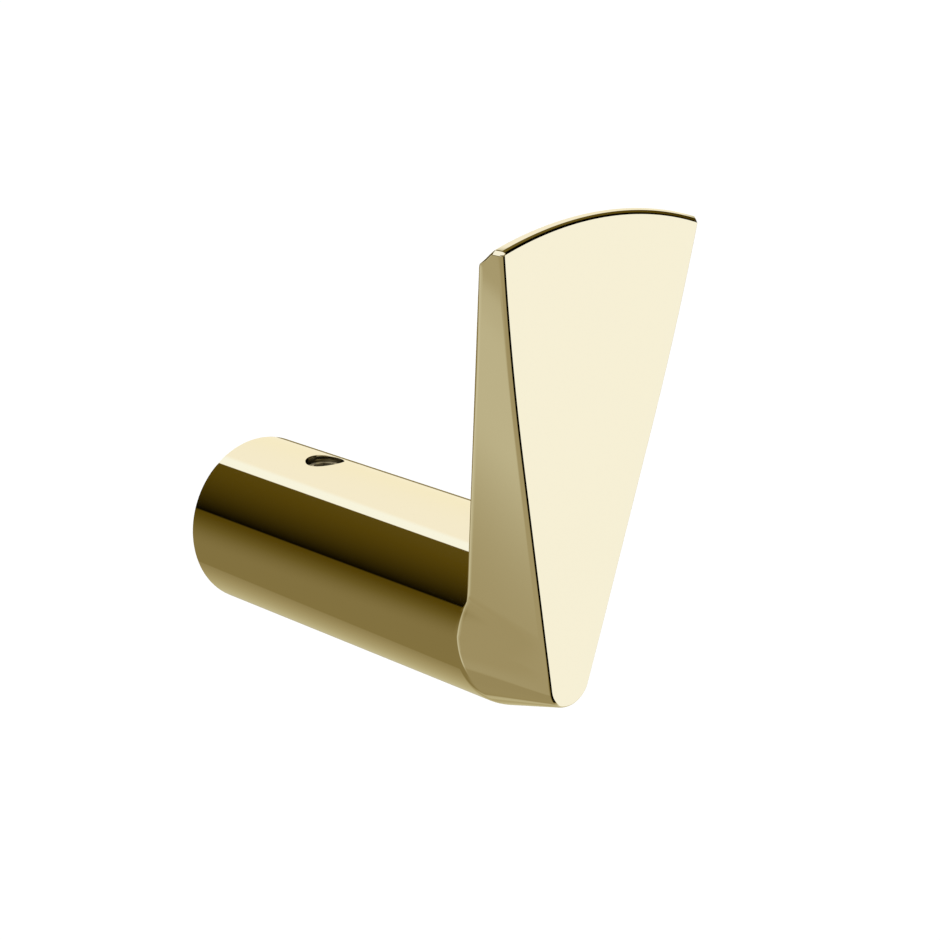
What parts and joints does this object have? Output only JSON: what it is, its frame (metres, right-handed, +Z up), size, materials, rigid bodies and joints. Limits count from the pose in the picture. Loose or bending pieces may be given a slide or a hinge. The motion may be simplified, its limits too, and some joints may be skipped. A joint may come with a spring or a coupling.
{
  "type": "robe hook",
  "caption": "Polished robe hook for a wall: a round post with a leaning fan-shaped plate on its front, fixed over a hidden spigot by a grub screw from above.",
  "frame": {"origin": "centre of the post's wall end, on the plane of the wall", "axes": "+Z up, +Y into the wall, so the post runs towards -Y and the plate faces -Y; symmetric about x = 0"},
  "size_m": [0.0294, 0.0598, 0.0557],
  "materials": {
    "polished_gold": "mirror polished, pale gold",
    "spigot_brass": "turned, unpolished",
    "screw_steel": "plated steel"
  },
  "bodies": {
    "root": {"hook_body": "polished_gold", "wall_spigot": "spigot_brass", "grub_screw": "screw_steel"}
  },
  "joints": []
}
